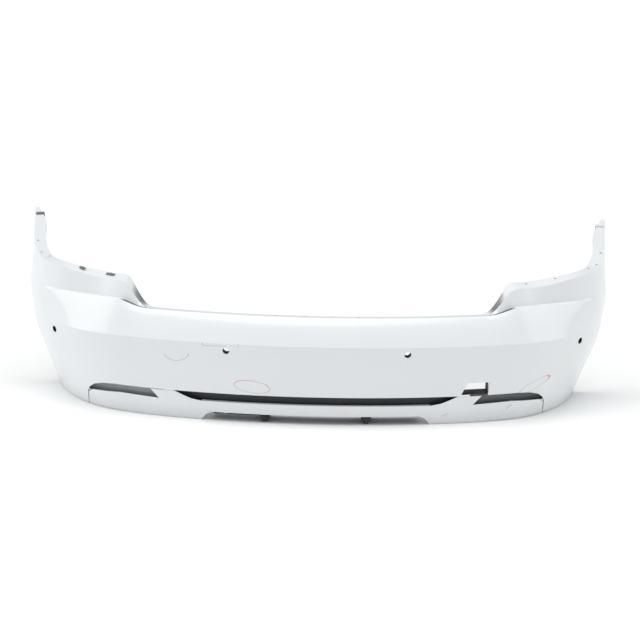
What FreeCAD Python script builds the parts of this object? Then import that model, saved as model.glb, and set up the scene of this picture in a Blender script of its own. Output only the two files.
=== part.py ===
import FreeCAD, Part
import math
import os
import Sketcher

# Rear bumper cover of a two-door car, as it comes off the car: a painted plastic skin with its lower
# valance, diffuser insert, vent panels, sensor holders, tow-eye frame, guides, clips and screws.
# Millimetres. +X is the car's right seen from behind, +Y forward into the car, +Z up.
# The origin is under the middle of the whole cover, on the surface that it stands on.

doc = FreeCAD.newDocument("rear_bumper_cover")

# ---------------------------------------------------------------- driving dimensions
SIZES = {
    # plan view of the skin's widest line: rear arc, corner arc, then a straight flared side
    "rear_radius": 2000, "rear_half_angle": 16.5, "corner_radius": 420, "side_flare": 6, "cover_depth": 650,
    "wall": 3,
    # cross-section
    "crease_height": 242, "brow_height": 317, "lamp_brow_height": 337, "lamp_top_height": 382,
    "shoulder_end_height": 413, "wing_tip_height": 490,
    "brow_inset": 48, "hem_inset": 42, "hem_width": 20, "side_tuck": 42, "ledge_depth": 20, "top_lip": 25, "lamp_lip": 34,
    "lamp_lip_rise": 12,
    "wing_flange": 35,
    # wheel arch
    "arch_radius": 365, "arch_centre_y": 790, "arch_centre_height": 85, "arch_flange": 22,
    # lower openings and valance
    "cover_edge_height": 87, "slot_bottom_height": 60, "slot_half_width": 408, "strut_outer_x": 480,
    "vent_tip_x": 455, "vent_middle_x": 570, "gap_line_x": 670, "panel_gap": 2,
    "lip_height": 27, "lip_half_width": 316, "edge_return": 12, "deep_return": 31,
    "trim_inset": 17, "trim_wall": 2.5,
    # tow-eye notch
    "tow_left_x": 437, "tow_right_x": 501, "tow_top_height": 127, "tow_slant": 22,
    "tow_open_width": 80, "tow_open_height": 24, "tow_frame_wall": 4, "tow_sill": 12, "tow_frame_depth": 14,
    # parking sensors
    "sensor_bore": 9.5, "sensor_hole": 10, "sensor_inner_x": 261, "sensor_inner_height": 220,
    "sensor_outer_turn": 52.2, "sensor_outer_look": 36, "sensor_outer_height": 216, "holder_length": 16, "holder_flange": 19,
    # fins
    "fin_x": 146, "fin_width": 30, "fin_length": 70, "fin_tip_width": 10,
    # fasteners
    "screw_hole": 3.2, "screw_head": 6, "screw_head_thick": 2.2, "screw_length": 14,
    "row_spacing": 80, "nut_width": 14, "nut_length": 22, "nut_sheet": 1, "nut_gap": 0.9,
}
sheet = doc.addObject("Spreadsheet::Sheet", "Sizes")
for row, (alias, value) in enumerate(SIZES.items(), start=1):
    sheet.set(f"A{row}", alias)
    sheet.set(f"B{row}", str(value))
    sheet.setAlias(f"B{row}", alias)
doc.recompute()


def size(alias):
    return float(getattr(sheet, alias))


WALL = size("wall")
SHIFT = FreeCAD.Vector(0, -size("cover_depth") / 2, 0)
nodes = []


def add_node(label, shape):
    """A sub-part whose shape is made with Part's own functions."""
    piece = doc.addObject("Part::Feature", label)
    piece.Label = label
    piece.Shape = shape
    piece.Placement = FreeCAD.Placement(SHIFT, FreeCAD.Rotation())
    nodes.append(piece)
    return piece


# ---------------------------------------------------------------- plan curve and cross-section
HALF_ANGLE = math.radians(size("rear_half_angle"))
FLARE = math.radians(size("side_flare"))
REAR_RUN = size("rear_radius") * HALF_ANGLE
CORNER_RUN = size("corner_radius") * (math.pi / 2 - FLARE - HALF_ANGLE)
CORNER_X = (size("rear_radius") - size("corner_radius")) * math.sin(HALF_ANGLE)
CORNER_Y = size("rear_radius") - (size("rear_radius") - size("corner_radius")) * math.cos(HALF_ANGLE)
SIDE_Y = CORNER_Y - size("corner_radius") * math.sin(FLARE)
SIDE_X = CORNER_X + size("corner_radius") * math.cos(FLARE)
SIDE_RUN = (size("cover_depth") - SIDE_Y) / math.cos(FLARE)
TOTAL_RUN = REAR_RUN + CORNER_RUN + SIDE_RUN


def plan(run, inset=0.0):
    """Point of the plan curve at a run from the middle, moved inwards, and the turn of its normal."""
    side = -1 if run < 0 else 1
    run = abs(run)
    if run <= REAR_RUN:
        turn = run / size("rear_radius")
        x = (size("rear_radius") - inset) * math.sin(turn)
        y = size("rear_radius") - (size("rear_radius") - inset) * math.cos(turn)
    elif run <= REAR_RUN + CORNER_RUN:
        turn = HALF_ANGLE + (run - REAR_RUN) / size("corner_radius")
        x = CORNER_X + (size("corner_radius") - inset) * math.sin(turn)
        y = CORNER_Y - (size("corner_radius") - inset) * math.cos(turn)
    else:
        turn = math.pi / 2 - FLARE
        along = run - REAR_RUN - CORNER_RUN
        x = SIDE_X + along * math.sin(FLARE) - inset * math.cos(FLARE)
        y = SIDE_Y + along * math.cos(FLARE) + inset * math.sin(FLARE)
    return side * x, y, side * turn


def run_at_turn(degrees):
    """The run round the corner arc at which the normal has turned by this angle."""
    return REAR_RUN + (math.radians(degrees) - HALF_ANGLE) * size("corner_radius")


def ease(run, start, end):
    """0 before start, 1 after end, smooth between."""
    t = min(1.0, max(0.0, (run - start) / (end - start)))
    return t * t * (3 - 2 * t)


def mix(low, high, share):
    return low + (high - low) * share


SHOULDER_START, SHOULDER_END, SHOULDER_STEEPNESS = 480, 610, 2.0
WING_TAPER = 100
# the skin is drawn this far below the floor, then cut level with it
FLOOR_DIP = 0.4
LAMP_END = run_at_turn(66)
LEDGE_FADE = run_at_turn(30)
TUCK_START = 430
TUCK_END = run_at_turn(74)


def profile(run):
    """The outer cross-section at a run, as (inset, height) poles from the hem up to the top lip's end."""
    run = abs(run)
    shoulder = ease(run, SHOULDER_START, SHOULDER_END) ** SHOULDER_STEEPNESS
    wing = ease(run, LEDGE_FADE, LAMP_END)
    forward = min(1.0, max(0.0, (run - LAMP_END) / (TOTAL_RUN - LAMP_END)))
    taper = 1 - 0.65 * ease(run, TOTAL_RUN - WING_TAPER, TOTAL_RUN)
    tuck = ease(run, TUCK_START, TUCK_END)
    crease = size("crease_height")
    hem = size("hem_inset") + size("side_tuck") * tuck
    crease_in = 8 * wing
    # face below the crease: rolls under at the hem, hollow just below the crease
    face = [
        (hem, -FLOOR_DIP), (mix(27, hem - 10, tuck), 28), (mix(20, 64, tuck), 82),
        (mix(13, 10, tuck), 165), (mix(7, 5, tuck) + crease_in * 0.6, 211), (crease_in, crease),
    ]
    # band above the crease: bulges, and falls back to the brow
    brow = mix(mix(size("brow_height"), size("lamp_brow_height"), shoulder), size("lamp_brow_height") - 8, wing)
    brow_in = mix(size("brow_inset"), 1, wing)
    rise = brow - crease
    band = [
        (mix(12, 3, wing), crease + 0.30 * rise), (mix(27, -4, wing), crease + 0.72 * rise),
        (brow_in, brow),
    ]
    # lamp ledge, the wall behind it and the top lip; on the wing they fade into a plain side
    ledge_in = brow_in + mix(14, size("ledge_depth"), shoulder) * (1 - wing) + 1.5 * wing
    ledge_z = brow - 2 + 10 * wing
    lamp_top = mix(size("lamp_top_height"), size("shoulder_end_height"), wing)
    lamp_top += (size("wing_tip_height") - size("shoulder_end_height")) * forward
    wall_z = mix(brow - 7, lamp_top, shoulder)
    wall_in = ledge_in + mix(7, 14, shoulder) * (1 - 0.4 * wing)
    lip_z = wall_z + shoulder * mix(size("lamp_lip_rise"), 1, wing)
    lip_in = wall_in + mix(mix(size("top_lip"), size("lamp_lip"), shoulder), size("wing_flange"), wing) * taper
    return face + band + [(ledge_in, ledge_z), (wall_in, wall_z), (lip_in, lip_z)]


# rows of poles that make each smooth patch of the skin; neighbours share a row
PATCHES = [(0, 5), (5, 8), (8, 9), (9, 10), (10, 11)]


def offset_line(line, distance):
    """A polyline of (inset, height) moved inwards by a distance, with mitred corners."""
    moved = []
    for i, (inset, height) in enumerate(line):
        normals = []
        for j in (i - 1, i):
            if 0 <= j < len(line) - 1:
                run_in, run_up = line[j + 1][0] - line[j][0], line[j + 1][1] - line[j][1]
                length = math.hypot(run_in, run_up)
                normals.append((run_up / length, -run_in / length))
        first, last = normals[0], normals[-1]
        scale = distance / (1 + first[0] * last[0] + first[1] * last[1])
        moved.append((inset + (first[0] + last[0]) * scale, height + (first[1] + last[1]) * scale))
    return moved


half = [90, 180, 270, 350, 405, 440, 465, 490, 510, 530, 550, 570, 590]
half += [run_at_turn(turn) for turn in range(21, 84, 6)]
half += [TOTAL_RUN - share * SIDE_RUN for share in (0.75, 0.5, 0.25, 0)]
STATIONS = [-run for run in reversed(half)] + [0] + half


def rails(lines, stations):
    """One smooth curve through each row of points, all with the same parameters."""
    parameters = [(run - stations[0]) / (stations[-1] - stations[0]) for run in stations]
    curves = []
    for row in zip(*lines):
        points = []
        for run, (inset, height) in zip(stations, row):
            x, y, _ = plan(run, inset)
            points.append(FreeCAD.Vector(x, y, height))
        curve = Part.BSplineCurve()
        curve.interpolate(Points=points, Parameters=parameters)
        curves.append(curve)
    return curves


def patch(rows):
    """The surface whose poles are the rails' poles: a Bezier arc across, a spline along."""
    across = len(rows) - 1
    surface = Part.BSplineSurface()
    surface.buildFromPolesMultsKnots(
        [curve.getPoles() for curve in rows], [across + 1, across + 1], rows[0].getMultiplicities(),
        [0.0, 1.0], rows[0].getKnots(), False, False, across, rows[0].Degree)
    return surface


def end_cap(outer, inner, patches, end):
    """The flat face that closes the sheet at its first or last station."""
    edges = []
    for rows in (outer, inner):
        for first, last in patches:
            arc = Part.BezierCurve()
            arc.setPoles([curve.getPole(1 if end == 0 else curve.NbPoles) for curve in rows[first:last + 1]])
            edges.append(arc.toShape())
    for row in (0, patches[-1][1]):
        pole = 1 if end == 0 else outer[row].NbPoles
        edges.append(Part.makeLine(outer[row].getPole(pole), inner[row].getPole(pole)))
    return Part.Face(Part.Wire(Part.__sortEdges__(edges)))


def sheet_solid(outer_lines, inner_lines, stations, patches):
    """The closed solid between two families of cross-section lines."""
    outer, inner = rails(outer_lines, stations), rails(inner_lines, stations)
    faces = [patch(rows[first:last + 1]).toShape() for rows in (outer, inner) for first, last in patches]
    for row in (0, patches[-1][1]):
        faces.append(patch([outer[row], inner[row]]).toShape())
    faces += [end_cap(outer, inner, patches, end) for end in (0, -1)]
    sewn = Part.makeCompound(faces)
    sewn.sewShape()
    solid = Part.Solid(sewn.Shells[0])
    if solid.Volume < 0:
        solid.reverse()
    return solid


def skin(outer_offset, inner_offset, patches=PATCHES):
    """A sheet between two offsets of the whole outer cross-section."""
    rows = patches[-1][1] + 1
    outer = [offset_line(profile(run), outer_offset)[:rows] for run in STATIONS]
    inner = [offset_line(profile(run), inner_offset)[:rows] for run in STATIONS]
    return sheet_solid(outer, inner, STATIONS, patches)


def slab(start_depth, end_depth, stations=STATIONS, patches=PATCHES[:1]):
    """A thick layer that follows the skin inwards, from which returns and flanges are cut."""
    rows = patches[-1][1] + 1
    outer = [[(inset + start_depth, height) for inset, height in profile(run)[:rows]] for run in stations]
    inner = [[(inset + end_depth, height) for inset, height in profile(run)[:rows]] for run in stations]
    return sheet_solid(outer, inner, stations, patches)


FACE_SURFACE = patch(rails([profile(run)[:6] for run in STATIONS], STATIONS))


def on_skin(run, height):
    """The point of the painted face at a run and a height, and the outward normal there."""
    along = (run - STATIONS[0]) / (STATIONS[-1] - STATIONS[0])
    low, high = 0.0, 1.0
    for _ in range(40):
        middle = (low + high) / 2
        if FACE_SURFACE.value(middle, along).z < height:
            low = middle
        else:
            high = middle
    point = FACE_SURFACE.value(low, along)
    normal = FACE_SURFACE.normal(low, along)
    inside = FreeCAD.Vector(0, size("cover_depth") / 2, height)
    if normal.dot(inside - point) > 0:
        normal = -normal
    return point, normal


# ---------------------------------------------------------------- outlines cut through the rear face
REAR_Y, THROUGH_Y = -40.0, 300.0


def prism(points, corner=0.0, low_y=REAR_Y, high_y=THROUGH_Y):
    """A solid whose outline is given as (x, z) points, along Y, with its long edges rounded."""
    corners = [FreeCAD.Vector(x, low_y, z) for x, z in points]
    wire = Part.makePolygon(corners + corners[:1])
    solid = Part.Face(wire).extrude(FreeCAD.Vector(0, high_y - low_y, 0))
    if corner:
        long_edges = [e for e in solid.Edges if abs(abs(e.Vertexes[0].Y - e.Vertexes[-1].Y)) > 1]
        solid = solid.makeFillet(corner, long_edges)
    return solid


def mirrored(shape):
    return shape.mirror(FreeCAD.Vector(0, 0, 0), FreeCAD.Vector(1, 0, 0))


def plate(low_x, high_x, low_z, high_z, low_y=REAR_Y, high_y=THROUGH_Y):
    """A box between two X planes and two Z planes."""
    return Part.makeBox(high_x - low_x, high_y - low_y, high_z - low_z, FreeCAD.Vector(low_x, low_y, low_z))


EDGE = size("cover_edge_height")
GAP = size("panel_gap")
GAP_X = size("gap_line_x")
SLOT_X = size("slot_half_width")
LIP_Z = size("lip_height")
RETURN = size("edge_return")
VENT_END = GAP_X - 85

# the window in the cover that the valance fills
window_end = [(VENT_END, EDGE), (GAP_X - 46, 83), (GAP_X - 20, 74), (GAP_X - 5, 60), (GAP_X, 46), (GAP_X, -20)]
window = prism(window_end + [(-x, z) for x, z in reversed(window_end)], corner=6)


floor_z = size("slot_bottom_height")


def valance_outline(side):
    """One half of the valance's outline: slot floor, strut, vent floor and gap line."""
    points = [
        (0, -5), (0, floor_z), (SLOT_X - 75, floor_z), (SLOT_X - 48, floor_z + 4.5),
        (SLOT_X - 24, EDGE - GAP - 11), (SLOT_X, EDGE - GAP), (size("strut_outer_x"), EDGE - GAP),
        (size("vent_tip_x"), floor_z - 2), (size("vent_middle_x"), floor_z + 2),
        (GAP_X - GAP - 14, floor_z - 6), (GAP_X - GAP, floor_z - 17), (GAP_X - GAP, -5)]
    return prism([(side * x, z) for x, z in points])


slab_return = slab(1, WALL + RETURN)
slab_deep = slab(1, size("deep_return"))
slab_hem = slab(1, size("hem_width"))
outer_skin = skin(0, WALL)

# ---------------------------------------------------------------- wheel arch
ARCH_R = size("arch_radius")
HALF_WIDTH = 950.0


def arch_cylinder(radius):
    foot = FreeCAD.Vector(-HALF_WIDTH, size("arch_centre_y"), size("arch_centre_height"))
    return Part.makeCylinder(radius, 2 * HALF_WIDTH, foot, FreeCAD.Vector(1, 0, 0))


wing_stations = [run for run in STATIONS if run >= run_at_turn(50)]
wing_slab = slab(1, size("arch_flange"), wing_stations, [(0, 5), (5, 8), (8, 9), (9, 10)])
arch_ring = arch_cylinder(ARCH_R + WALL).cut(arch_cylinder(ARCH_R))
front_cut = Part.makeBox(2 * HALF_WIDTH, 60, 600, FreeCAD.Vector(-HALF_WIDTH, size("cover_depth"), -20))
arch_flange = wing_slab.common(arch_ring)

# ---------------------------------------------------------------- cover shell
notch_points = [
    (size("tow_left_x") - size("tow_slant"), EDGE - 6), (size("tow_left_x"), size("tow_top_height")),
    (size("tow_right_x"), size("tow_top_height")), (size("tow_right_x") - 3, EDGE - 6)]
tow_notch = prism(notch_points)
notch_rim = prism([
    (notch_points[0][0] - 2, EDGE), (notch_points[1][0] - 2.6, size("tow_top_height") + 3),
    (notch_points[2][0] + 3, size("tow_top_height") + 3), (notch_points[3][0] + 3.2, EDGE)])

cover = outer_skin.cut(window)
returns = [
    plate(3 - VENT_END, VENT_END - 3, EDGE, EDGE + WALL), notch_rim]
cover = cover.fuse([slab_return.common(piece) for piece in returns])
gap_flange = slab_hem.common(plate(GAP_X, GAP_X + WALL, 14, 40))
slot_flange = slab_deep.common(plate(4 - SLOT_X, SLOT_X - 4, EDGE, EDGE + WALL))
cover = cover.fuse([gap_flange, mirrored(gap_flange), slot_flange])
hem = slab_hem.common(plate(GAP_X, HALF_WIDTH, -1, WALL, high_y=500))
cover = cover.fuse([hem, mirrored(hem), arch_flange, mirrored(arch_flange)])
cover = cover.cut([tow_notch, arch_cylinder(ARCH_R), front_cut])

# ---------------------------------------------------------------- places on the wings, ledges and arches
def on_lip(run, share):
    """A point on the top lip, a share of the way from its wall to its free edge: the point, the upward
    normal there, and the direction towards the free edge."""
    def place(at_run, at_share):
        (wall_in, wall_z), (lip_in, lip_z) = profile(at_run)[-2:]
        x, y, _ = plan(at_run, mix(wall_in, lip_in, at_share))
        return FreeCAD.Vector(x, y, mix(wall_z, lip_z, at_share))
    along = place(run + 2, share) - place(run - 2, share)
    across = place(run, share + 0.1) - place(run, share - 0.1)
    normal = along.cross(across).normalize()
    return place(run, share), normal if normal.z > 0 else -normal, across.normalize()


def frame(point, up, ahead):
    """A placement whose local Z is up and whose local X is nearest to ahead."""
    side = up.cross(ahead).normalize()
    return FreeCAD.Placement(point, FreeCAD.Rotation(side.cross(up), side, up, "ZXY"))


def arch_place(degrees, side):
    """A point in the middle of the wheel-arch flange, at an angle above its centre, and the outward radius."""
    turn = math.radians(degrees)
    radius = FreeCAD.Vector(0, -math.cos(turn), math.sin(turn))
    point = FreeCAD.Vector(0, size("arch_centre_y"), size("arch_centre_height")) + radius * (ARCH_R + WALL)
    far = point + radius * 2
    cut = Part.makeLine(FreeCAD.Vector(300, far.y, far.z), FreeCAD.Vector(HALF_WIDTH, far.y, far.z))
    outside = max(vertex.X for vertex in cut.common(outer_skin).Vertexes)
    return FreeCAD.Vector(side * (outside - size("arch_flange") / 2 - 1.5 * WALL), point.y, point.z), radius


def through(point, axis, radius, depth=12.0):
    """A cutter for a round hole, centred on a point."""
    return Part.makeCylinder(radius, 2 * depth, point - axis * depth, axis)


HOLE = size("screw_hole")
SIDES = {"left": -1, "right": 1}
WING_RUNS = [run_at_turn(70), run_at_turn(81)]
WING_HOLE_SHARE = 0.3
LAMP_RUNS = [run_at_turn(30), run_at_turn(45.5), run_at_turn(65)]
LAMP_HOLE_SHARE = 0.7
ARCH_ANGLES = [5, 30, 55]
ROW_SPACING, ROW_COUNT = size("row_spacing"), 4
row_x = [ROW_SPACING * (i - (ROW_COUNT - 1) / 2) for i in range(ROW_COUNT)]
ROW_EDGE = 7.5
row_y = plan(ROW_SPACING, profile(0)[-1][0] - ROW_EDGE)[1]
row_z = profile(0)[-1][1]

sensor_places = {}
for side_name, side in SIDES.items():
    inner_run = side * size("rear_radius") * math.asin(size("sensor_inner_x") / size("rear_radius"))
    sensor_places[f"inner_{side_name}"] = on_skin(inner_run, size("sensor_inner_height"))
    point, _ = on_skin(side * run_at_turn(size("sensor_outer_turn")), size("sensor_outer_height"))
    look = math.radians(size("sensor_outer_look"))
    sensor_places[f"outer_{side_name}"] = point, FreeCAD.Vector(side * math.sin(look), -math.cos(look), 0)

holes = []
for point, normal in sensor_places.values():
    holes.append(through(point, normal, size("sensor_hole")))
for side in SIDES.values():
    for run in WING_RUNS:
        point, up, _ = on_lip(side * run, WING_HOLE_SHARE)
        holes.append(through(point, up, HOLE))
    for run in LAMP_RUNS:
        point, up, _ = on_lip(side * run, LAMP_HOLE_SHARE)
        holes.append(through(point, up, HOLE))
    for angle in ARCH_ANGLES:
        point, radius = arch_place(angle, side)
        holes.append(through(point, radius, HOLE))
for x in row_x:
    holes.append(through(FreeCAD.Vector(x, row_y, row_z), FreeCAD.Vector(0, 0, 1), HOLE))


def run_at_x(x, height):
    """The run at which the painted face is this far from the middle, at a height."""
    low, high = 0.0, TOTAL_RUN
    for _ in range(30):
        middle = (low + high) / 2
        if on_skin(middle, height)[0].x < x:
            low = middle
        else:
            high = middle
    return low


# screws that tie valance, insert and cover together, each a distance inside the skin
gap_screw_heights = [20, 33]
edge_screw_x = [-330, -110, 110, 330]
lip_screw_x = [-260, -60, 60, 260]
GAP_SCREW_IN, EDGE_SCREW_IN, LIP_SCREW_IN = 15, 25, 10
gap_centres, edge_centres, lip_centres = [], [], []
for height in gap_screw_heights:
    base, _ = on_skin(run_at_x(GAP_X, height), height)
    for side in SIDES.values():
        gap_centres.append((side, FreeCAD.Vector(side * GAP_X, base.y + GAP_SCREW_IN, height)))
        holes.append(through(gap_centres[-1][1], FreeCAD.Vector(1, 0, 0), HOLE, 5.5))
for x in edge_screw_x:
    edge_centres.append(FreeCAD.Vector(x, on_skin(x, EDGE)[0].y + EDGE_SCREW_IN, EDGE))
    holes.append(through(edge_centres[-1], FreeCAD.Vector(0, 0, 1), HOLE, 6))
for x in lip_screw_x:
    lip_centres.append(FreeCAD.Vector(x, on_skin(x, LIP_Z)[0].y + LIP_SCREW_IN, LIP_Z))
    holes.append(through(lip_centres[-1], FreeCAD.Vector(0, 0, 1), HOLE, 7))

below_floor = Part.makeBox(2 * HALF_WIDTH, 700, 20, FreeCAD.Vector(-HALF_WIDTH, -10, -20))
cover = cover.cut(holes + [below_floor])
add_node("cover_shell", cover.Solids[0])

# ---------------------------------------------------------------- lower valance
LIP_X = size("lip_half_width")
lip_end = [(LIP_X - 14, LIP_Z), (LIP_X + 2, 18), (LIP_X + 28, -20)]
lip_lift = prism(lip_end + [(-x, z) for x, z in reversed(lip_end)], corner=5)
valance = outer_skin.common(valance_outline(1)).fuse(outer_skin.common(valance_outline(-1)))
lip_plate = plate(18 - LIP_X, LIP_X - 18, LIP_Z, LIP_Z + WALL)
floor_plate = plate(78 - SLOT_X, SLOT_X - 78, floor_z - WALL, floor_z)
valance_returns = [slab_return.common(lip_plate), slab_return.common(floor_plate)]
for side in SIDES.values():
    ends = sorted((side * (LIP_X + 18), side * (GAP_X - GAP)))
    valance_returns.append(slab_hem.common(plate(*ends, -1, WALL)))
    ends = sorted((side * (GAP_X - GAP - WALL), side * (GAP_X - GAP)))
    valance_returns.append(slab_hem.common(plate(*ends, 14, 38)))
valance = valance.cut(lip_lift).fuse(valance_returns).cut(holes + [below_floor])
add_node("lower_valance", valance.Solids[0])

# ---------------------------------------------------------------- diffuser insert, black, behind slot and lip
TRIM_IN, TRIM_OUT = size("trim_inset"), size("trim_inset") + size("trim_wall")
trim_skin = skin(TRIM_IN, TRIM_OUT, PATCHES[:1])
TRIM_X = SLOT_X + 4
TRAY_X = LIP_X - 20
insert_parts = [
    trim_skin.common(plate(-TRIM_X, TRIM_X, 40, EDGE - 2)),
    trim_skin.common(plate(-TRAY_X, TRAY_X, LIP_Z - 6, 44)),
    trim_skin.common(plate(-TRAY_X, -TRAY_X / 2, LIP_Z - 10, LIP_Z - 4)),
    slab(TRIM_IN + 1.5, size("deep_return")).common(plate(4 - SLOT_X, SLOT_X - 4, EDGE - 4, EDGE - 1.2)),
    slab(4, 80).common(plate(-TRAY_X, TRAY_X, LIP_Z + WALL + 0.5, LIP_Z + WALL + 3))]
fin_top = LIP_Z + WALL + 2
FIN_TIP = 0.8
for side in SIDES.values():
    middle = side * size("fin_x")
    half_top, half_tip = size("fin_width") / 2, size("fin_tip_width") / 2
    start = on_skin(middle, LIP_Z)[0].y + TRIM_IN + 1
    insert_parts.append(prism([
        (middle - half_top, fin_top), (middle - half_top * 0.95, 14), (middle - half_tip, FIN_TIP),
        (middle + half_tip, FIN_TIP), (middle + half_top * 0.95, 14), (middle + half_top, fin_top)],
        2.5, start, start + size("fin_length")))
insert = insert_parts[0].fuse(insert_parts[1:]).cut(holes)
add_node("diffuser_insert", insert.Solids[0])

# ---------------------------------------------------------------- vent panels
vent_panel = trim_skin.common(prism([
    (446, 44), (446, EDGE - 2.5), (VENT_END + 30, EDGE - 2.5), (GAP_X + 8, 70), (GAP_X + 8, 44)], 4))
add_node("vent_panel_right", vent_panel.Solids[0])
add_node("vent_panel_left", mirrored(vent_panel.Solids[0]))

# ---------------------------------------------------------------- bodies with sketches
def origin_plane(body, role):
    return next(item for item in body.Origin.OriginFeatures if item.Role == role)


def new_body(label):
    body = doc.addObject("PartDesign::Body", label)
    body.Label = label
    return body


def new_sketch(body, name, role):
    sketch = body.newObject("Sketcher::SketchObject", name)
    sketch.AttachmentSupport = [(origin_plane(body, role), "")]
    sketch.MapMode = "FlatFace"
    return sketch


def closed_outline(sketch, points):
    """Joined straight edges through the points."""
    first = sketch.GeometryCount
    for start, end in zip(points, points[1:] + points[:1]):
        sketch.addGeometry(Part.LineSegment(FreeCAD.Vector(*start, 0), FreeCAD.Vector(*end, 0)), False)
    for i in range(len(points)):
        after = first + (i + 1) % len(points)
        sketch.addConstraint(Sketcher.Constraint("Coincident", first + i, 2, after, 1))
    return first


def bind(sketch, kind, elements, expression, value):
    """A dimension of the sketch whose value comes from the spreadsheet."""
    index = sketch.addConstraint(Sketcher.Constraint(kind, *elements, value))
    sketch.setExpression(f"Constraints[{index}]", expression)


def rectangle(sketch, low, high, names):
    """A rectangle whose four distances from the origin are bound to expressions."""
    first = closed_outline(sketch, [low, (high[0], low[1]), high, (low[0], high[1])])
    for edge in (first, first + 2):
        sketch.addConstraint(Sketcher.Constraint("Horizontal", edge))
    for edge in (first + 1, first + 3):
        sketch.addConstraint(Sketcher.Constraint("Vertical", edge))
    left, bottom, right, top = names
    bind(sketch, "DistanceX", (-1, 1, first, 1), left, low[0])
    bind(sketch, "DistanceY", (-1, 1, first, 1), bottom, low[1])
    bind(sketch, "DistanceX", (-1, 1, first + 2, 1), right, high[0])
    bind(sketch, "DistanceY", (-1, 1, first + 2, 1), top, high[1])


def place_body(body, placement):
    moved = FreeCAD.Placement(placement.Base + SHIFT, placement.Rotation)
    body.Placement = moved
    nodes.append(body)


# tow-eye frame: a short square tube behind the notch; local Z runs into the car
def tow_eye_frame():
    body = new_body("tow_eye_frame")
    sketch = new_sketch(body, "frame_section", "XY_Plane")
    open_x, open_z = size("tow_open_width") / 2, size("tow_open_height") / 2
    rim, sill = size("tow_frame_wall"), size("tow_sill")
    rectangle(sketch, (-open_x - rim, -open_z - sill), (open_x + rim, open_z + rim), (
        "-Sizes.tow_open_width / 2 - Sizes.tow_frame_wall",
        "-Sizes.tow_open_height / 2 - Sizes.tow_sill",
        "Sizes.tow_open_width / 2 + Sizes.tow_frame_wall",
        "Sizes.tow_open_height / 2 + Sizes.tow_frame_wall"))
    rectangle(sketch, (-open_x, -open_z), (open_x, open_z), (
        "-Sizes.tow_open_width / 2", "-Sizes.tow_open_height / 2",
        "Sizes.tow_open_width / 2", "Sizes.tow_open_height / 2"))
    pad = body.newObject("PartDesign::Pad", "frame_tube")
    pad.Profile = sketch
    pad.setExpression("Length", "Sizes.tow_frame_depth")
    doc.recompute()
    run = (size("tow_left_x") + size("tow_right_x")) / 2
    middle_z = EDGE - 1 + sill + open_z
    point, _ = on_skin(run, middle_z)
    inward = FreeCAD.Vector(-math.sin(plan(run)[2]), math.cos(plan(run)[2]), 0)
    place = frame(point + inward * (RETURN + WALL + 4), inward, FreeCAD.Vector(1, 0, 0))
    # local X to the right, local Y up: turn the frame so that its sill is below
    up = place.Rotation.multVec(FreeCAD.Vector(0, 1, 0))
    if up.z < 0:
        place = place * FreeCAD.Placement(FreeCAD.Vector(), FreeCAD.Rotation(FreeCAD.Vector(0, 0, 1), 180))
    place_body(body, place)


tow_eye_frame()


# sensor holders: a flanged ring bonded behind each hole; local Z runs into the car
def sensor_holder(label, point, normal):
    body = new_body(label)
    sketch = new_sketch(body, label + "_section", "XZ_Plane")
    bore, flange, length = size("sensor_bore"), size("holder_flange"), size("holder_length")
    outer = bore + 3
    first = closed_outline(sketch, [
        (bore, 0), (flange, 0), (flange, 2), (outer, 2), (outer, length), (bore, length)])
    for edge in (first, first + 2, first + 4):
        sketch.addConstraint(Sketcher.Constraint("Horizontal", edge))
    for edge in (first + 1, first + 3, first + 5):
        sketch.addConstraint(Sketcher.Constraint("Vertical", edge))
    sketch.addConstraint(Sketcher.Constraint("PointOnObject", first, 1, -1))
    bind(sketch, "DistanceX", (-1, 1, first, 1), "Sizes.sensor_bore", bore)
    bind(sketch, "DistanceX", (-1, 1, first, 2), "Sizes.holder_flange", flange)
    bind(sketch, "DistanceX", (-1, 1, first + 3, 1), "Sizes.sensor_bore + 3", outer)
    bind(sketch, "DistanceY", (first + 1, 1, first + 1, 2), "Sizes.screw_head_thick", 2)
    bind(sketch, "DistanceY", (-1, 1, first + 4, 1), "Sizes.holder_length", length)
    ring = body.newObject("PartDesign::Revolution", label + "_ring")
    ring.Profile = sketch
    ring.ReferenceAxis = (sketch, ["V_Axis"])
    ring.Angle = 360
    doc.recompute()
    clear = HOLDER_TILT_GAP if "outer" in label else 0.6
    place_body(body, frame(point - normal * (WALL + clear), -normal, FreeCAD.Vector(0, 0, 1)))


HOLDER_TILT_GAP = 9.0
for name, (point, axis) in sensor_places.items():
    sensor_holder("sensor_holder_" + name, point, axis)

# ---------------------------------------------------------------- rails and guides that follow the skin
rail_runs = [run for run in STATIONS if abs(run) <= 360]
rail_line = [(64, 268), (64, row_z - WALL - 4.4), (84, row_z - WALL - 4.4)]
rail_inner = [(66.5, 268), (66.5, row_z - WALL - 6.9), (84, row_z - WALL - 6.9)]
top_rail = sheet_solid([rail_line] * len(rail_runs), [rail_inner] * len(rail_runs), rail_runs, [(0, 1), (1, 2)])
add_node("top_rail", top_rail.cut(holes))

guide_runs = [run for run in STATIONS if run >= run_at_turn(74)][:-1]
guide_runs.append(TOTAL_RUN - 34)
GUIDE_DROP, GUIDE_WALL, GUIDE_SKIRT = 8.5, 2.5, 22


def guide_line(run, inwards):
    """Section of the side guide: a skirt beside the wing's wall and a shelf under its flange."""
    (wall_in, wall_z), (lip_in, lip_z) = profile(run)[-2:]
    near, shelf = wall_in + 5 + inwards, -GUIDE_DROP - inwards
    return [(near, wall_z + shelf - GUIDE_SKIRT), (near, wall_z + shelf), (lip_in, lip_z + shelf)]


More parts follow.
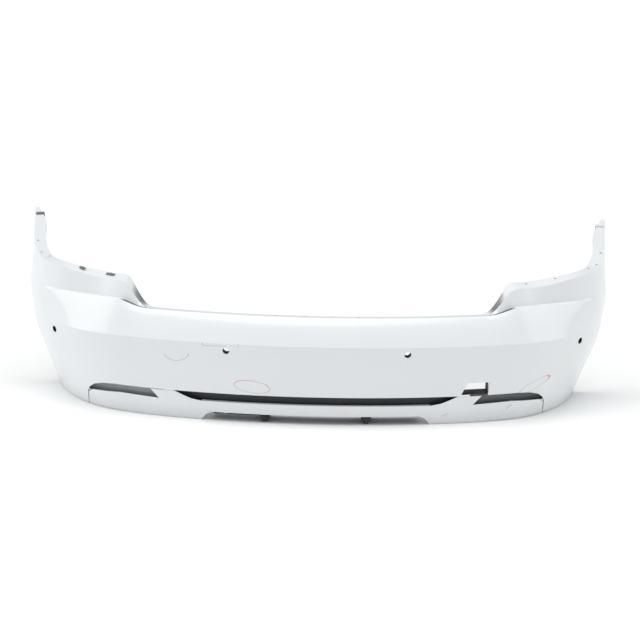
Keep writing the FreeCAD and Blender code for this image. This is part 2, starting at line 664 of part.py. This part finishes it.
guide = sheet_solid([guide_line(run, 0) for run in guide_runs],
                    [guide_line(run, GUIDE_WALL) for run in guide_runs], guide_runs, [(0, 1), (1, 2)])
guide = guide.cut([arch_cylinder(ARCH_R + WALL + 4)] + holes)
add_node("side_guide_right", guide.Solids[0])
add_node("side_guide_left", mirrored(guide.Solids[0]))


# ---------------------------------------------------------------- fasteners and clips
def bound(kind, name, **expressions):
    """A Part primitive whose sizes are expressions on the spreadsheet."""
    item = doc.addObject(kind, name)
    for prop, expression in expressions.items():
        item.setExpression(prop, expression)
    return item


def cut(name, base, tool):
    item = doc.addObject("Part::Cut", name)
    item.Base, item.Tool = base, tool
    return item


def fuse(name, shapes):
    item = doc.addObject("Part::MultiFuse", name)
    item.Shapes = shapes
    return item


# screw, head up: local Z is along the shank, the head's underside at Z = 0
head_form = bound("Part::Cylinder", "screw_head_form", Radius="Sizes.screw_head", Height="Sizes.screw_head_thick")
shank_form = bound("Part::Cylinder", "screw_shank_form", Radius="Sizes.screw_hole - 0.5",
                   Height="Sizes.screw_length + 0.2")
shank_form.setExpression("Placement.Base.z", "-Sizes.screw_length")
drive_form = bound("Part::Prism", "screw_drive_form", Circumradius="Sizes.screw_head / 2.6",
                   Height="Sizes.screw_head_thick")
drive_form.setExpression("Placement.Base.z", "Sizes.screw_head_thick / 2")
screw_form = cut("screw_form", fuse("screw_blank", [head_form, shank_form]), drive_form)

# clip nut: a folded strip round the free edge of a flange, with a hole in both leaves; local Z is the
# flange's normal, local X points at the free edge, and the flange's middle plane is at Z = 0
strip_form = bound("Part::Box", "nut_strip_form", Length="Sizes.nut_length", Width="Sizes.nut_width",
                   Height="Sizes.wall + 2 * Sizes.nut_sheet + 2 * Sizes.nut_gap")
strip_form.setExpression("Placement.Base.x", "-Sizes.nut_length / 2")
strip_form.setExpression("Placement.Base.y", "-Sizes.nut_width / 2")
strip_form.setExpression("Placement.Base.z", "-Sizes.wall / 2 - Sizes.nut_sheet - Sizes.nut_gap")
throat_form = bound("Part::Box", "nut_throat_form", Length="Sizes.nut_length", Width="2 * Sizes.nut_width",
                    Height="Sizes.wall + 2 * Sizes.nut_gap")
throat_form.setExpression("Placement.Base.x", "-Sizes.nut_length / 2 - Sizes.nut_sheet")
throat_form.setExpression("Placement.Base.y", "-Sizes.nut_width")
throat_form.setExpression("Placement.Base.z", "-Sizes.wall / 2 - Sizes.nut_gap")
eye_form = bound("Part::Cylinder", "nut_eye_form", Radius="Sizes.screw_hole", Height="8 * Sizes.wall")
eye_form.setExpression("Placement.Base.z", "-4 * Sizes.wall")
nut_form = cut("nut_form", cut("nut_fold", strip_form, throat_form), eye_form)

# push-in clip: a domed head over a ribbed stem; local Z is out of the stem, the head's underside at Z = 0
dome_form = bound("Part::Cone", "clip_head_form", Radius1="Sizes.screw_head + 1", Radius2="Sizes.screw_head / 2",
                  Height="Sizes.screw_head_thick + 1")
stem_form = bound("Part::Cone", "clip_stem_form", Radius1="Sizes.screw_hole - 1.2",
                  Radius2="Sizes.screw_hole - 0.4", Height="Sizes.screw_length + 0.2")
stem_form.setExpression("Placement.Base.z", "-Sizes.screw_length")
clip_form = fuse("clip_form", [dome_form, stem_form])
doc.recompute()


def group(label, form, placements):
    """Copies of one small piece, each its own solid, in one node."""
    copies = []
    for placement in placements:
        copy = form.Shape.copy()
        copy.Placement = placement
        copies.append(copy)
    add_node(label, Part.makeCompound(copies))


UP = FreeCAD.Vector(0, 0, 1)
DOWN = FreeCAD.Vector(0, 0, -1)
AHEAD = FreeCAD.Vector(0, 1, 0)
for side_name, side in SIDES.items():
    arch_places = []
    for angle in ARCH_ANGLES:
        point, radius = arch_place(angle, side)
        inwards = FreeCAD.Vector(-side, 0, 0)
        arch_places.append(frame(point - radius * (WALL / 2), radius, inwards))
    group("arch_nuts_" + side_name, nut_form, arch_places)

ledge_places = []
for run in LAMP_RUNS[:2]:
    point, up, across = on_lip(-run, LAMP_HOLE_SHARE)
    ledge_places.append(frame(point + up * 0.4, up, across))
group("lamp_ledge_clips", clip_form, ledge_places)

gap_places = [
    frame(centre - FreeCAD.Vector(side * (GAP + WALL + 0.4), 0, 0), FreeCAD.Vector(-side, 0, 0), UP)
    for side, centre in gap_centres]
edge_places = [frame(centre + UP * (WALL + 0.4), UP, AHEAD) for centre in edge_centres]
lip_places = [frame(centre + DOWN * 0.4, DOWN, AHEAD) for centre in lip_centres]
group("valance_screws", screw_form, gap_places)
group("insert_screws", screw_form, edge_places + lip_places)


# wing-tip clips: a bent strip hooked over the front end of each wing's flange
def wing_tip_clip(label, side):
    body = new_body(label)
    sketch = new_sketch(body, label + "_section", "XZ_Plane")
    reach, drop, thick = 25.5, 18, 2.4
    closed_outline(sketch, [
        (0, 0), (reach, 0), (reach, -drop), (reach - thick, -drop), (reach - thick, -thick), (0, -thick)])
    pad = body.newObject("PartDesign::Pad", label + "_strip")
    pad.Profile = sketch
    pad.setExpression("Length", "Sizes.nut_width")
    pad.Midplane = True
    doc.recompute()
    point, up, across = on_lip(side * (TOTAL_RUN - 50), 0.16)
    place_body(body, frame(point + up * (thick + 0.4), up, across))


for side_name, side in SIDES.items():
    wing_tip_clip("wing_tip_clip_" + side_name, side)

# ---------------------------------------------------------------- checks and export
doc.recompute()
for item in doc.Objects:
    bad = [state for state in item.State if state in ("Invalid", "Error")]
    if bad:
        raise RuntimeError(f"{item.Label}: {bad}")
for piece in nodes:
    if piece.Shape.isNull() or not piece.Shape.isValid() or not piece.Shape.Solids:
        raise RuntimeError(f"{piece.Label}: empty or not a valid solid")

os.makedirs("parts", exist_ok=True)
for piece in nodes:
    print(piece.Label, len(piece.Shape.Solids), "solids", round(piece.Shape.Volume / 1000, 2), "cm3")
    piece.Shape.exportStep(f"parts/{piece.Label}.step")
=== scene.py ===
import math

import bmesh
import bpy
from mathutils import Matrix, Vector


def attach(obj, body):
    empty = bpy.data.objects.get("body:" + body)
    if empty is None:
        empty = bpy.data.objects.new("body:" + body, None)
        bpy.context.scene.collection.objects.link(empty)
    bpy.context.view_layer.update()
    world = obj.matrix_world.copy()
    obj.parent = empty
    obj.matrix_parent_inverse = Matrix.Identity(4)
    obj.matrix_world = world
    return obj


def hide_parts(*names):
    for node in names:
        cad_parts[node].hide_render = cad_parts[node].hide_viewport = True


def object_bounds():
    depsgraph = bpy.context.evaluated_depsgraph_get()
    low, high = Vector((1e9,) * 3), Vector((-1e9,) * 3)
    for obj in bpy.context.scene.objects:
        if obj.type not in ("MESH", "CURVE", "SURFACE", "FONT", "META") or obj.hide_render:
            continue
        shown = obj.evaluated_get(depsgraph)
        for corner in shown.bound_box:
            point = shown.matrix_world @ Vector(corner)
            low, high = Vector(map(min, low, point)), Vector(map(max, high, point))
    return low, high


# Looks of a white rear bumper cover off a two-door car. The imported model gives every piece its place;
# metres, +X to the car's right seen from behind, +Y forward, +Z up.
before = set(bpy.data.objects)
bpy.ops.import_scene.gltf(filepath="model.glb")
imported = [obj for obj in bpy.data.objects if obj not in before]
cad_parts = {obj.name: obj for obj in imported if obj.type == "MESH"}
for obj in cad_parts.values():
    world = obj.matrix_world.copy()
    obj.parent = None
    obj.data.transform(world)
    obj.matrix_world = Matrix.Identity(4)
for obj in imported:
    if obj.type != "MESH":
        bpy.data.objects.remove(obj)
cad_low, cad_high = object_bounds()

# ---------------------------------------------------------------- where the cover is seen from
# The cover stands on a studio floor and is seen from behind it and a little above, through a long lens,
# with the camera tipped slightly about its own axis.
aim = Vector((0.0068, -0.025, 0.2434))
distance = 7.3
elevation = math.radians(15)
tip = math.radians(1.3)
long_lens = 138.4
camera_data = bpy.data.cameras.new("rear_camera")
camera_data.sensor_width = 36
camera_data.lens = long_lens
camera_data.clip_end = 100
camera = bpy.data.objects.new("rear_camera", camera_data)
camera.location = aim + distance * Vector((0, -math.cos(elevation), math.sin(elevation)))
level_look = (aim - camera.location).to_track_quat("-Z", "Y").to_matrix()
camera.rotation_euler = (level_look @ Matrix.Rotation(tip, 3, "Z")).to_euler()
bpy.context.scene.collection.objects.link(camera)
bpy.context.scene.camera = camera
bpy.context.scene.view_settings.view_transform = "Standard"


# ---------------------------------------------------------------- studio floor
# A pale, slightly uneven matt floor sheet, wide enough to fill the view behind the cover. It is also the
# first finish, so the way in which finishes are written stands here.
class Wire:
    """One socket in a finish's node tree. Arithmetic on wires and numbers adds Math nodes."""

    def __init__(self, tree, socket=None):
        self.tree = tree
        self.socket = socket

    def node(self, kind, settings, sockets, output=0):
        """A node of this kind: its settings first, then the values or links of its sockets."""
        made = self.tree.nodes.new("ShaderNode" + kind)
        for name, value in settings.items():
            setattr(made, name, value)
        for name, value in sockets.items():
            if isinstance(value, Wire):
                self.tree.links.new(value.socket, made.inputs[name])
            else:
                made.inputs[name].default_value = value
        return Wire(self.tree, made.outputs[output])

    def maths(self, operation, *values):
        """One Math node on wires and numbers."""
        return self.node("Math", {"operation": operation}, dict(enumerate(values)))

    def __add__(self, other):
        return self.maths("ADD", self, other)

    def __radd__(self, other):
        return self.maths("ADD", other, self)

    def __sub__(self, other):
        return self.maths("SUBTRACT", self, other)

    def __rsub__(self, other):
        return self.maths("SUBTRACT", other, self)

    def __mul__(self, other):
        return self.maths("MULTIPLY", self, other)

    def __rmul__(self, other):
        return self.maths("MULTIPLY", other, self)

    def __truediv__(self, other):
        return self.maths("DIVIDE", self, other)

    def __abs__(self):
        return self.maths("ABSOLUTE", self)

    def __pow__(self, other):
        return self.maths("POWER", self, other)

    def larger(self, other):
        return self.maths("MAXIMUM", self, other)

    def smaller(self, other):
        return self.maths("MINIMUM", self, other)

    def rise(self, low, high):
        """0 below low, 1 above high, smooth between."""
        return self.node("MapRange", {"interpolation_type": "SMOOTHSTEP"},
                         {"Value": self, "From Min": low, "From Max": high})

    def tint(self, first, second):
        """The first colour where this wire is 0, the second where it is 1."""
        return self.node("Mix", {"data_type": "RGBA"}, {0: self, 6: first, 7: second}, 2)

    def noise(self, scale, detail=2.0, roughness=0.5):
        """Cloudy noise on this wire's vector, so many lumps a metre."""
        return self.node("TexNoise", {}, {"Vector": self, "Scale": scale, "Detail": detail,
                                          "Roughness": roughness})

    def stretched(self, scale):
        """This vector scaled along each axis, so that a pattern on it runs in streaks."""
        return self.node("Mapping", {}, {"Vector": self, "Scale": scale})

    def axes(self):
        """The three parts of this vector."""
        split = self.node("SeparateXYZ", {}, {"Vector": self}).socket.node
        return [Wire(self.tree, split.outputs[i]) for i in range(3)]


def new_finish(name, **constants):
    """A material with one Principled shader whose unvarying inputs are set on its own sockets.
    Gives the material, its shader and the object-coordinate vector."""
    material = bpy.data.materials.new(name)
    material.use_nodes = True
    tree = material.node_tree
    shader = tree.nodes["Principled BSDF"]
    for socket, value in constants.items():
        shader.inputs[socket.replace("_", " ")].default_value = value
    return material, shader, Wire(tree).node("TexCoord", {}, {}, 3)


def feed(shader, **wires):
    """Joins what varies over a surface to the shader's inputs."""
    for socket, wire in wires.items():
        wire.tree.links.new(wire.socket, shader.inputs[socket.replace("_", " ")])


def bumped(height, depth):
    """A normal from a height wire, whose full range is this deep in metres."""
    return height.node("Bump", {}, {"Strength": 1.0, "Distance": depth, "Height": height})


floor_finish, shader, place = new_finish("studio_floor", Roughness=0.9)
feed(shader, Base_Color=place.noise(1.5).tint((0.90, 0.905, 0.91, 1), (0.93, 0.93, 0.93, 1)),
     Normal=bumped(place.noise(60, 4), 0.0004))
floor_half = 30
floor_clearance = 0.0005
floor_mesh = bmesh.new()
bmesh.ops.create_grid(floor_mesh, x_segments=2, y_segments=2, size=floor_half)
bmesh.ops.translate(floor_mesh, verts=floor_mesh.verts, vec=(0, 0, cad_low[2] - floor_clearance))
floor_data = bpy.data.meshes.new("studio_floor")
floor_mesh.to_mesh(floor_data)
floor_data.materials.append(floor_finish)
floor = bpy.data.objects.new("studio_floor", floor_data)
bpy.context.scene.collection.objects.link(floor)

# ---------------------------------------------------------------- studio light
# Three wide soft lights, one overhead and behind the cover and one at each side, the left one stronger, and
# an even pale surround.
world = bpy.data.worlds.new("pale_surround")
world.use_nodes = True
world.node_tree.nodes["Background"].inputs["Color"].default_value = (0.86, 0.93, 1.0, 1)
world.node_tree.nodes["Background"].inputs["Strength"].default_value = 0.36
bpy.context.scene.world = world

lights = (("soft_overhead", (-0.04, -0.17, 0.98), 1.72),
          ("soft_left", (-0.86, -0.14, 0.49), 1.10),
          ("soft_right", (0.86, -0.14, 0.49), 0.70))
light_distance = 5
for name, light_from, energy in lights:
    soft_light = bpy.data.lights.new(name, "SUN")
    soft_light.energy = energy
    soft_light.color = (1.0, 0.985, 0.95)
    soft_light.angle = math.radians(50)
    lamp = bpy.data.objects.new(name, soft_light)
    lamp.location = Vector(light_from) * light_distance
    lamp.rotation_euler = (-Vector(light_from)).to_track_quat("-Z", "Y").to_euler()
    bpy.context.scene.collection.objects.link(lamp)

# ---------------------------------------------------------------- painted skins
# The cover and its lower valance: injection-moulded plastic about 3 mm thick, primed and sprayed white
# with a clear coat on the outside, left as moulded on the inside, where a little overspray reaches. The
# paint carries old crayon rings, tape lines, a few scuffs low down and road film towards its lower edge.
crayon_half_line = 0.0013
tape_half_line = 0.0011


def ring(x, z, middle, half_length, half_height, tilt):
    """A drawn oval on the rear face: 1 on its line and 0 elsewhere, then how far along and above its
    middle each point is, as shares of its half sizes."""
    along_x, along_z = x - middle[0], z - middle[1]
    along = (along_x * math.cos(tilt) + along_z * math.sin(tilt)) / half_length
    above = (along_z * math.cos(tilt) - along_x * math.sin(tilt)) / half_height
    from_line = abs((along * along + above * above) ** 0.5 - 1) * half_height
    return 1 - from_line.rise(crayon_half_line * 0.4, crayon_half_line), along, above


def stroke(x, z, start, end, half_line):
    """A straight drawn line on the rear face: 1 on it, 0 elsewhere."""
    run_x, run_z = end[0] - start[0], end[1] - start[1]
    length = math.hypot(run_x, run_z)
    near_x, near_z = x - start[0], z - start[1]
    along = (near_x * (run_x / length) + near_z * (run_z / length)).larger(0.0).smaller(length)
    off_x, off_z = near_x - along * (run_x / length), near_z - along * (run_z / length)
    return 1 - ((off_x * off_x + off_z * off_z) ** 0.5).rise(half_line * 0.4, half_line)


def drawn_marks(x, z, wobble):
    """How much red crayon and how much grey pencil, tape edge and scuff there is at a point of the face."""
    near_insert, _, above_insert = ring(x + wobble, z + wobble, middle=(-0.184, 0.113),
                                        half_length=0.052, half_height=0.018, tilt=-0.12)
    over_vent, along_vent, _ = ring(x + wobble, z + wobble, middle=(0.637, 0.105),
                                    half_length=0.050, half_height=0.012, tilt=0.42)
    on_left, _, above_left = ring(x + wobble, z, middle=(-0.404, 0.205),
                                  half_length=0.036, half_height=0.025, tilt=0.10)
    red = near_insert * above_insert.rise(-0.2, 0.6) + over_vent * along_vent.rise(0.55, 0.9)
    pencil = (near_insert * (0.35 - above_insert).rise(0.0, 0.7) * 0.35 + over_vent * 0.30
              + on_left * (0.1 - above_left).rise(0.0, 0.5) * 0.55)
    tape = (stroke(x, z, (-0.328, 0.243), (-0.327, 0.233), tape_half_line)
            + stroke(x, z, (-0.327, 0.233), (-0.257, 0.2345), tape_half_line)
            + stroke(x, z, (-0.225, 0.243), (-0.225, 0.236), tape_half_line)) * 0.55
    scuffs = (stroke(x + wobble, z, (0.366, 0.026), (0.384, 0.034), 0.0016)
              + stroke(x + wobble, z, (0.556, 0.038), (0.572, 0.050), 0.0014)
              + stroke(x + wobble, z, (0.552, 0.046), (0.566, 0.052), 0.0009)) * 0.6
    return red, pencil + tape + scuffs


def paint_finish(name):
    """White paint on every side that faces out of the cover, bare plastic on the sides that face in."""
    material, shader, place = new_finish(name, Specular_IOR_Level=0.5, Coat_Roughness=0.08, Coat_IOR=1.5)
    x, y, z = place.axes()
    face_x, face_y, _ = place.node("NewGeometry", {}, {}, 1).axes()
    # outward is how far a side faces away from an upright line ahead of the cover
    line_y = 0.5
    outward = face_x * x - face_y * (line_y - y)
    bare = (-0.10 - outward).rise(0.0, 0.08)
    rear_side = (0 - face_y).rise(0.3, 0.5)
    overspray = place.noise(110, 6, 0.75).rise(0.42, 0.90) * 0.22
    # road film, drips and stone chips
    clouds = place.noise(2.2, 3)
    specks = place.noise(750, 2, 0.6).rise(0.70, 0.78)
    film_height = 0.055
    low_down = (film_height - z).rise(0.0, film_height)
    grime = place.noise(38, 6, 0.7) * low_down
    drips = place.stretched((9, 9, 90)).noise(4, 5, 0.7).rise(0.60, 0.82)
    chips = place.noise(120, 3, 0.6).rise(0.71, 0.74) * low_down
    soft_white = clouds.tint((0.775, 0.80, 0.83, 1), (0.82, 0.83, 0.835, 1))
    filmed = (specks * 0.15 + grime * 0.35 + drips * 0.04 + chips * 0.5).smaller(1.0).tint(
        soft_white, (0.42, 0.41, 0.39, 1))
    # what has been drawn or scraped on the rear face
    hand_wobble = (place.noise(45, 2) - 0.5) * 0.006
    red, grey = drawn_marks(x, z, hand_wobble)
    grey = (grey * rear_side).smaller(1.0)
    red = (red * rear_side * 0.75).smaller(1.0)
    drawn = red.tint(grey.tint(filmed, (0.30, 0.29, 0.31, 1)), (0.72, 0.30, 0.32, 1))
    moulded = overspray.tint((0.10, 0.102, 0.105, 1), (0.62, 0.63, 0.64, 1))
    # orange peel in the paint, fine grain on the bare side
    peel = place.noise(260, 3, 0.55)
    grain = place.noise(1400, 2)
    feed(shader, Base_Color=bare.tint(drawn, moulded),
         Roughness=0.30 + 0.18 * clouds * drips + grime * 0.3 + bare * 0.35 + grey * 0.2,
         Coat_Weight=(1 - bare) * 0.5,
         Normal=bumped(peel * (1 - bare) * 0.5 + grain * bare - chips * 0.5, 0.00012))
    return material


def dressed(finish, nodes):
    """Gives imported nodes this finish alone."""
    for node in nodes:
        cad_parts[node].data.materials.clear()
        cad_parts[node].data.materials.append(finish)


dressed(paint_finish("white_paint"), ["cover_shell", "lower_valance"])


# ---------------------------------------------------------------- black insert, rail, holders and tow frame
# Unpainted polypropylene mouldings behind the painted skins, with a fine eroded grain and a little dust:
# the insert closes the centre slot and carries the fins, the rail stiffens the top edge, and the holders
# and the tow-eye frame are bonded behind their openings.
def moulded_finish(name, dark, light, rough, dust=0.25):
    """A grained, slightly clouded plastic between two colours, with some dust settled on it."""
    material, shader, place = new_finish(name, Specular_IOR_Level=0.45)
    clouds = place.noise(9, 4)
    grain = place.noise(900, 3, 0.6)
    settled = place.noise(55, 6, 0.7).rise(0.52, 0.78) * dust
    feed(shader, Base_Color=settled.tint(clouds.tint(dark, light), (0.36, 0.35, 0.33, 1)),
         Roughness=rough + 0.15 * (grain - 0.5) + settled * 0.3,
         Normal=bumped(grain, 0.00015))
    return material


black_grain = moulded_finish("black_plastic", (0.016, 0.016, 0.018, 1), (0.026, 0.026, 0.029, 1), 0.52,
                             dust=0.05)
holders = [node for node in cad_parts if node.startswith("sensor_holder")]
dressed(black_grain, ["diffuser_insert", "tow_eye_frame", "top_rail"] + holders)

# ---------------------------------------------------------------- vent panels
# Dark grey grained panels that close the outer openings. The left one is painted paler than the right one:
# a painted sheen for the light that falls on it from the upper left.
vent_grain = moulded_finish("dark_grain_plastic", (0.130, 0.134, 0.142, 1), (0.175, 0.180, 0.190, 1), 0.60)
# the left panel's finish: the same grain in a lighter grey, a painted sheen
sheen_lit_grain = moulded_finish("sheen_lit_grain_plastic", (0.31, 0.315, 0.335, 1), (0.37, 0.375, 0.395, 1), 0.60)
dressed(vent_grain, ["vent_panel_right"])
dressed(sheen_lit_grain, ["vent_panel_left"])

# ---------------------------------------------------------------- side guides and wing-tip clips
# The pale guides that hold the wings to the car body, and the clips hooked over the wings' front ends: a
# pale one on the right, a dusty dark one on the left.
pale_grain = moulded_finish("pale_plastic", (0.66, 0.66, 0.64, 1), (0.74, 0.74, 0.72, 1), 0.48)
clip_grain = moulded_finish("clip_plastic", (0.13, 0.125, 0.12, 1), (0.22, 0.21, 0.20, 1), 0.55)
dressed(pale_grain, ["side_guide_left", "side_guide_right", "wing_tip_clip_right"])
dressed(clip_grain, ["wing_tip_clip_left"])


# ---------------------------------------------------------------- screws and clip nuts
# Steel with bright zinc plate gone a little dull: the screws that join the valance, insert and cover, and
# the clip nuts on the wheel-arch flanges.
def zinc_finish(name):
    """Zinc plate with its faint spangle and dull patches."""
    material, shader, place = new_finish(name, Metallic=1.0)
    spangle = place.node("TexVoronoi", {}, {"Vector": place, "Scale": 420})
    dull = place.noise(160, 5, 0.7)
    feed(shader, Base_Color=dull.tint((0.62, 0.61, 0.56, 1), (0.42, 0.41, 0.38, 1)),
         Roughness=0.28 + 0.25 * dull, Normal=bumped(spangle, 0.00005))
    return material


dressed(zinc_finish("zinc_steel"), ["arch_nuts_left", "arch_nuts_right", "valance_screws", "insert_screws"])

# ---------------------------------------------------------------- lamp-ledge clips
# What is left on the left ledge of the clips that held the tail lamp's seal: each a thin base with rounded
# corners, a domed head above it and a ribbed push-in stem through the hole in the ledge.
corner_middle = Vector((-0.4487, 0.160, 0))
ledge_rise, ledge_width = 0.012, 0.034
ledge_slope = math.atan2(ledge_rise, ledge_width)
base_long, base_wide, base_thick = 0.030, 0.010, 0.0018
base_corner, base_rim = 0.003, 0.0005
head_radius, head_height = 0.0058, 0.0022
stem_radius, stem_length, stem_overlap = 0.0021, 0.012, 0.0004
rib_count, rib_rise = 4, 0.0006
seat_lift = 0.0052


def islands(node, count):
    """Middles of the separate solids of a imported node, sorted along X."""
    copy = bmesh.new()
    copy.from_mesh(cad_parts[node].data)
    bmesh.ops.remove_doubles(copy, verts=copy.verts, dist=1e-6)
    left, middles = set(copy.verts), []
    while left:
        queue, found = [left.pop()], []
        while queue:
            vert = queue.pop()
            found.append(vert.co.copy())
            for edge in vert.link_edges:
                other = edge.other_vert(vert)
                if other in left:
                    left.remove(other)
                    queue.append(other)
        low = Vector(min(co[i] for co in found) for i in range(3))
        high = Vector(max(co[i] for co in found) for i in range(3))
        middles.append((low + high) / 2)
    copy.free()
    assert len(middles) == count, (node, len(middles))
    return sorted(middles, key=lambda middle: middle.x)


def turned(mesh, outline, steps):
    """Adds a closed turned solid: an outline of (radius, height) spun about Z."""
    verts = [mesh.verts.new((radius, 0, height)) for radius, height in outline]
    edges = [mesh.edges.new(pair) for pair in zip(verts, verts[1:])]
    bmesh.ops.spin(mesh, geom=verts + edges, cent=(0, 0, 0), axis=(0, 0, 1),
                   angle=math.tau, steps=steps, use_merge=True)


def edge_rise(edge):
    """How far an edge climbs from one end to the other."""
    return abs(edge.verts[0].co.z - edge.verts[1].co.z)


def clip_base(mesh):
    """Adds the base: a thin block with rounded corners and softened rims, standing on Z = 0."""
    bmesh.ops.create_cube(mesh, size=1.0)
    bmesh.ops.scale(mesh, vec=(base_long, base_wide, base_thick), verts=mesh.verts)
    upright = [edge for edge in mesh.edges if edge_rise(edge) > base_thick / 2]
    bmesh.ops.bevel(mesh, geom=upright, offset=base_corner, segments=4, profile=0.5, material=-1,
                    affect="EDGES")
    rims = [edge for edge in mesh.edges if edge_rise(edge) < base_thick / 4]
    bmesh.ops.bevel(mesh, geom=rims, offset=base_rim, segments=2, profile=0.5, material=-1,
                    affect="EDGES")
    bmesh.ops.translate(mesh, vec=(0, 0, base_thick / 2), verts=mesh.verts)


def clip_head(mesh):
    """Adds the domed head on the base."""
    outline = [(0, base_thick + head_height)]
    for degrees in range(15, 91, 15):
        turn = math.radians(degrees)
        outline.append((head_radius * math.sin(turn), base_thick + head_height * math.cos(turn)))
    turned(mesh, outline + [(head_radius, base_thick * 0.5), (0, base_thick * 0.5)], 24)


def clip_stem(mesh):
    """Adds the stem below the base, with its ribs."""
    outline = [(0, -stem_length), (stem_radius * 0.5, -stem_length)]
    for i in range(rib_count):
        foot = -stem_length + stem_length * (i + 0.5) / (rib_count + 0.5)
        outline += [(stem_radius * 1.25, foot), (stem_radius * 0.75, foot + rib_rise)]
    turned(mesh, outline + [(stem_radius, stem_overlap), (0, stem_overlap)], 16)


def finished(name, mesh, finish, replaced):
    """Merges, turns faces outwards, makes the object, rides it and hides the node it stands for."""
    bmesh.ops.remove_doubles(mesh, verts=mesh.verts, dist=1e-6)
    bmesh.ops.recalc_face_normals(mesh, faces=mesh.faces)
    for face in mesh.faces:
        face.smooth = True
    data = bpy.data.meshes.new(name)
    mesh.to_mesh(data)
    mesh.free()
    data.materials.append(finish)
    data.set_sharp_from_angle(angle=math.radians(35))
    piece = bpy.data.objects.new(name, data)
    bpy.context.scene.collection.objects.link(piece)
    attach(piece, "root")
    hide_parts(replaced)


clip_mesh = bmesh.new()
for middle in islands("lamp_ledge_clips", 2):
    out = middle - corner_middle
    out.z = 0
    out.normalize()
    up = out * math.sin(ledge_slope) + Vector((0, 0, 1)) * math.cos(ledge_slope)
    along = up.cross(out).normalized()
    one = bmesh.new()
    clip_base(one)
    clip_head(one)
    clip_stem(one)
    turn = Matrix((along, up.cross(along), up)).transposed().to_4x4()
    seat = Matrix.Translation(middle + up * seat_lift) @ turn
    bmesh.ops.transform(one, matrix=seat, verts=one.verts)
    joined = bpy.data.meshes.new("one_clip")
    one.to_mesh(joined)
    one.free()
    clip_mesh.from_mesh(joined)
    bpy.data.meshes.remove(joined)
finished("ledge_clip_remains", clip_mesh, clip_grain, "lamp_ledge_clips")
